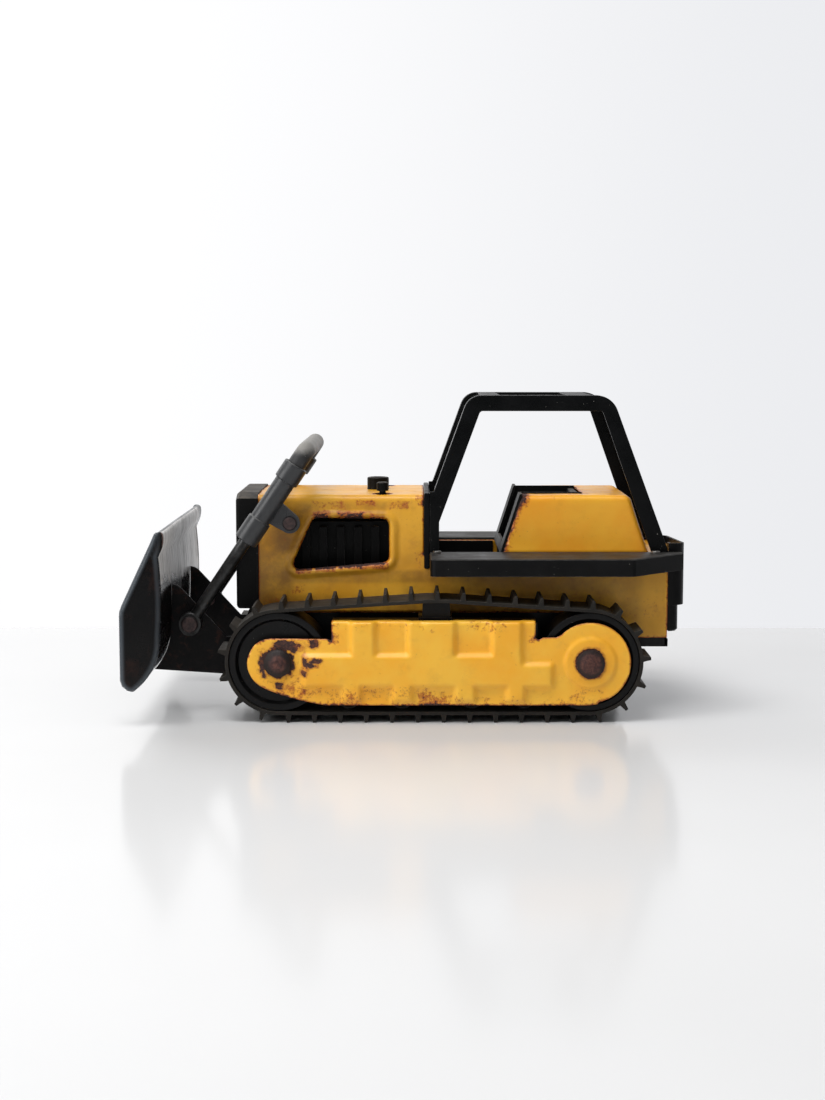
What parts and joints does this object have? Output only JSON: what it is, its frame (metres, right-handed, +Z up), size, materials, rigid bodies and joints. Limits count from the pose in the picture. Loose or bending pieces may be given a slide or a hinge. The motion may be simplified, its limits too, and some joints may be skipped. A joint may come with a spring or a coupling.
{
  "type": "toy bulldozer",
  "caption": "Pressed-steel toy crawler bulldozer: yellow body, black roll cage, rubber tracks on rolling wheels and a front blade raised by a U-shaped handle.",
  "frame": {"origin": "centre of the overall box at ground level: the tips of the track cleats are at Z = 0", "axes": "+Z up, -X towards the blade at the front, +X towards the rear, -Y the toy's left side"},
  "size_m": [0.442, 0.262, 0.2525],
  "materials": {
    "yellow_enamel": "chipped gloss enamel with rust at the edges",
    "black_enamel": "worn gloss enamel",
    "black_plastic": "satin",
    "dark_plastic": "matt",
    "wheel_plastic": "satin",
    "lift_plastic": "dusty satin",
    "track_rubber": "matt",
    "dark_steel": "blackened",
    "plain_steel": "dull",
    "rusty_steel": "rusted"
  },
  "bodies": {
    "chassis": {"chassis_pan": "black_enamel", "body_shell": "yellow_enamel", "rear_housing": "yellow_enamel", "engine_block": "dark_plastic", "grille": "black_plastic", "exhaust_cap": "black_plastic", "hood_knob": "black_plastic", "dash_panel": "black_plastic", "cab_floor": "black_plastic", "seat": "black_plastic", "fender_left": "black_plastic", "fender_right": "black_plastic", "fender_screws": "plain_steel", "roll_cage": "black_plastic", "rear_panel": "black_plastic", "side_frame_left": "yellow_enamel", "side_frame_right": "yellow_enamel", "roller_carrier_left": "wheel_plastic", "roller_carrier_right": "wheel_plastic", "slide_block_left": "wheel_plastic", "slide_block_right": "wheel_plastic", "roller_axles": "plain_steel", "front_axle": "plain_steel", "rear_axle": "plain_steel", "axle_caps": "rusty_steel", "axle_spacers": "plain_steel", "track_left": "track_rubber", "track_right": "track_rubber", "hood_rivets": "rusty_steel"},
    "blade": {"blade": "black_enamel", "push_arm_left": "black_enamel", "push_arm_right": "black_enamel", "rod_pins": "rusty_steel"},
    "lift_barrels": {"lift_barrel_left": "lift_plastic", "lift_barrel_right": "lift_plastic"},
    "lift_handle": {"lift_handle": "lift_plastic", "lift_rod_left": "dark_steel", "lift_rod_right": "dark_steel"},
    "wheel_front_left": {"wheel_front_left": "wheel_plastic"},
    "wheel_rear_left": {"wheel_rear_left": "wheel_plastic"},
    "roller_1_left": {"roller_1_left": "wheel_plastic"},
    "roller_2_left": {"roller_2_left": "wheel_plastic"},
    "roller_3_left": {"roller_3_left": "wheel_plastic"},
    "roller_4_left": {"roller_4_left": "wheel_plastic"},
    "wheel_front_right": {"wheel_front_right": "wheel_plastic"},
    "wheel_rear_right": {"wheel_rear_right": "wheel_plastic"},
    "roller_1_right": {"roller_1_right": "wheel_plastic"},
    "roller_2_right": {"roller_2_right": "wheel_plastic"},
    "roller_3_right": {"roller_3_right": "wheel_plastic"},
    "roller_4_right": {"roller_4_right": "wheel_plastic"}
  },
  "joints": [
    {"name": "blade_lift", "type": "hinge", "parent": "chassis", "child": "blade", "pos_m": [-0.101, 0, 0.0475], "axis": [0, 1, 0], "range_deg": [-2.7, 20]},
    {"name": "barrel_swivel", "type": "hinge", "parent": "chassis", "child": "lift_barrels", "pos_m": [-0.09344, 0, 0.15268], "axis": [0, 1, 0], "range_deg": [-0.4, 2]},
    {"name": "handle_slide", "type": "slide", "parent": "lift_barrels", "child": "lift_handle", "axis": [0.5592, 0, 0.829], "range_m": [-0.0036, 0.0258]},
    {"name": "wheel_front_left_spin", "type": "hinge", "parent": "chassis", "child": "wheel_front_left", "pos_m": [-0.101, 0, 0.0475], "axis": [0, 1, 0], "continuous": true},
    {"name": "wheel_rear_left_spin", "type": "hinge", "parent": "chassis", "child": "wheel_rear_left", "pos_m": [0.1405, 0, 0.0475], "axis": [0, 1, 0], "continuous": true},
    {"name": "roller_1_left_spin", "type": "hinge", "parent": "chassis", "child": "roller_1_left", "pos_m": [-0.0466, 0, 0.017], "axis": [0, 1, 0], "continuous": true},
    {"name": "roller_2_left_spin", "type": "hinge", "parent": "chassis", "child": "roller_2_left", "pos_m": [-0.0052, 0, 0.017], "axis": [0, 1, 0], "continuous": true},
    {"name": "roller_3_left_spin", "type": "hinge", "parent": "chassis", "child": "roller_3_left", "pos_m": [0.0495, 0, 0.017], "axis": [0, 1, 0], "continuous": true},
    {"name": "roller_4_left_spin", "type": "hinge", "parent": "chassis", "child": "roller_4_left", "pos_m": [0.0902, 0, 0.017], "axis": [0, 1, 0], "continuous": true},
    {"name": "wheel_front_right_spin", "type": "hinge", "parent": "chassis", "child": "wheel_front_right", "pos_m": [-0.101, 0, 0.0475], "axis": [0, 1, 0], "continuous": true},
    {"name": "wheel_rear_right_spin", "type": "hinge", "parent": "chassis", "child": "wheel_rear_right", "pos_m": [0.1405, 0, 0.0475], "axis": [0, 1, 0], "continuous": true},
    {"name": "roller_1_right_spin", "type": "hinge", "parent": "chassis", "child": "roller_1_right", "pos_m": [-0.0466, 0, 0.017], "axis": [0, 1, 0], "continuous": true},
    {"name": "roller_2_right_spin", "type": "hinge", "parent": "chassis", "child": "roller_2_right", "pos_m": [-0.0052, 0, 0.017], "axis": [0, 1, 0], "continuous": true},
    {"name": "roller_3_right_spin", "type": "hinge", "parent": "chassis", "child": "roller_3_right", "pos_m": [0.0495, 0, 0.017], "axis": [0, 1, 0], "continuous": true},
    {"name": "roller_4_right_spin", "type": "hinge", "parent": "chassis", "child": "roller_4_right", "pos_m": [0.0902, 0, 0.017], "axis": [0, 1, 0], "continuous": true}
  ],
  "couplings": [
    {"joint": "barrel_swivel", "follows": "blade_lift", "ratio": 0.09},
    {"joint": "handle_slide", "follows": "blade_lift", "m_per_rad": 0.0735},
    {"joint": "wheel_rear_left_spin", "follows": "wheel_front_left_spin", "ratio": 1},
    {"joint": "wheel_rear_right_spin", "follows": "wheel_front_right_spin", "ratio": 1}
  ]
}
